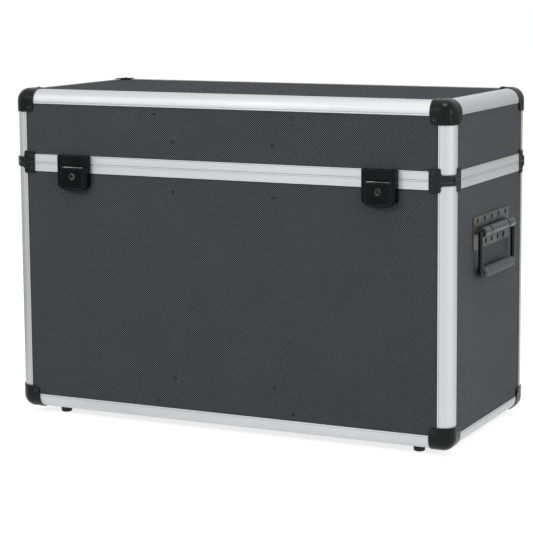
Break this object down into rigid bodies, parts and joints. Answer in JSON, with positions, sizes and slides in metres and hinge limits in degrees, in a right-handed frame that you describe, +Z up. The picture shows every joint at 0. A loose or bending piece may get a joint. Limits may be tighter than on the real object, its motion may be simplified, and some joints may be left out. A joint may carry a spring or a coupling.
{
  "type": "lighting fixture flight case",
  "caption": "Flight case for lighting fixtures: laminated panels in rounded aluminium rails, hinged lid, key-locking draw latches, side bail handles, rubber feet.",
  "frame": {"origin": "middle of the footprint, on the plane of the feet", "axes": "+X to the right along the width, +Z up, the latches face -Y and the hinges +Y"},
  "size_m": [0.838, 0.3778, 0.5683],
  "materials": {
    "rail_aluminium": "satin anodised",
    "panel_laminate": "dimpled laminate on plywood",
    "corner_plastic": "moulded, semi-gloss",
    "black_steel": "black zinc",
    "divider_ply": "laminated plywood with bare edges",
    "foam": "open-cell foam",
    "foot_rubber": "moulded rubber",
    "latch_plastic": "glass-filled nylon, semi-gloss",
    "zinc_steel": "zinc-plated"
  },
  "bodies": {
    "case_body": {"body_angle_brackets": "zinc_steel", "body_back_panel": "panel_laminate", "body_back_rim": "rail_aluminium", "body_corner_brackets": "corner_plastic", "body_divider_channels": "rail_aluminium", "body_dividers": "divider_ply", "body_floor_panel": "panel_laminate", "body_front_panel": "panel_laminate", "body_front_rim": "rail_aluminium", "body_hinge_leaves": "zinc_steel", "body_left_panel": "panel_laminate", "body_posts": "rail_aluminium", "body_right_panel": "panel_laminate", "body_rivets": "black_steel", "body_side_rims": "rail_aluminium", "bottom_back_rail": "rail_aluminium", "bottom_corner_caps": "corner_plastic", "bottom_front_rail": "rail_aluminium", "bottom_side_rails": "rail_aluminium", "feet": "foot_rubber", "floor_foam": "foam", "foot_screws": "zinc_steel", "hinge_pins": "zinc_steel", "latch_pins": "zinc_steel", "left_handle_plate": "black_steel", "left_latch_base": "zinc_steel", "right_handle_plate": "black_steel", "right_latch_base": "zinc_steel"},
    "lid": {"lid_angle_brackets": "zinc_steel", "lid_back_panel": "panel_laminate", "lid_back_rim": "rail_aluminium", "lid_corner_brackets": "corner_plastic", "lid_divider_channels": "rail_aluminium", "lid_dividers": "divider_ply", "lid_foam": "foam", "lid_front_panel": "panel_laminate", "lid_front_rim": "rail_aluminium", "lid_hinge_leaves": "zinc_steel", "lid_left_panel": "panel_laminate", "lid_posts": "rail_aluminium", "lid_right_panel": "panel_laminate", "lid_rivets": "black_steel", "lid_side_rims": "rail_aluminium", "lid_top_panel": "panel_laminate", "top_back_rail": "rail_aluminium", "top_corner_caps": "corner_plastic", "top_front_rail": "rail_aluminium", "top_side_rails": "rail_aluminium", "latch_keepers": "zinc_steel"},
    "left_flap": {"left_latch_lever": "latch_plastic"},
    "left_claw": {"left_latch_cover": "latch_plastic"},
    "left_key_lock": {"left_latch_lock": "zinc_steel"},
    "left_bail_handle": {"left_handle_bail": "black_steel", "left_handle_grip": "foot_rubber"},
    "right_flap": {"right_latch_lever": "latch_plastic"},
    "right_claw": {"right_latch_cover": "latch_plastic"},
    "right_key_lock": {"right_latch_lock": "zinc_steel"},
    "right_bail_handle": {"right_handle_bail": "black_steel", "right_handle_grip": "foot_rubber"}
  },
  "joints": [
    {"name": "lid_hinge", "type": "hinge", "parent": "case_body", "child": "lid", "pos_m": [0, 0.183, 0.4413], "axis": [-1, 0, 0], "range_deg": [0, 100]},
    {"name": "left_flap_hinge", "type": "hinge", "parent": "case_body", "child": "left_flap", "pos_m": [-0.2803, -0.1835, 0.4333], "axis": [-1, 0, 0], "range_deg": [0, 100]},
    {"name": "left_claw_hinge", "type": "hinge", "parent": "left_flap", "child": "left_claw", "pos_m": [-0.2803, -0.1825, 0.4253], "axis": [-1, 0, 0], "range_deg": [-100, 0]},
    {"name": "left_lock_turn", "type": "hinge", "parent": "left_flap", "child": "left_key_lock", "pos_m": [-0.2803, -0.185, 0.4207], "axis": [0, 1, 0], "range_deg": [0, 90]},
    {"name": "left_handle_swing", "type": "hinge", "parent": "case_body", "child": "left_bail_handle", "pos_m": [-0.41, 0.005, 0.348], "axis": [0, 1, 0], "range_deg": [0, 88]},
    {"name": "right_flap_hinge", "type": "hinge", "parent": "case_body", "child": "right_flap", "pos_m": [0.2803, -0.1835, 0.4333], "axis": [-1, 0, 0], "range_deg": [0, 100]},
    {"name": "right_claw_hinge", "type": "hinge", "parent": "right_flap", "child": "right_claw", "pos_m": [0.2803, -0.1825, 0.4253], "axis": [-1, 0, 0], "range_deg": [-100, 0]},
    {"name": "right_lock_turn", "type": "hinge", "parent": "right_flap", "child": "right_key_lock", "pos_m": [0.2803, -0.185, 0.4207], "axis": [0, 1, 0], "range_deg": [0, 90]},
    {"name": "right_handle_swing", "type": "hinge", "parent": "case_body", "child": "right_bail_handle", "pos_m": [0.41, 0.005, 0.348], "axis": [0, -1, 0], "range_deg": [0, 88]}
  ],
  "couplings": [
    {"joint": "left_claw_hinge", "follows": "left_flap_hinge", "ratio": -1},
    {"joint": "right_claw_hinge", "follows": "right_flap_hinge", "ratio": -1}
  ]
}
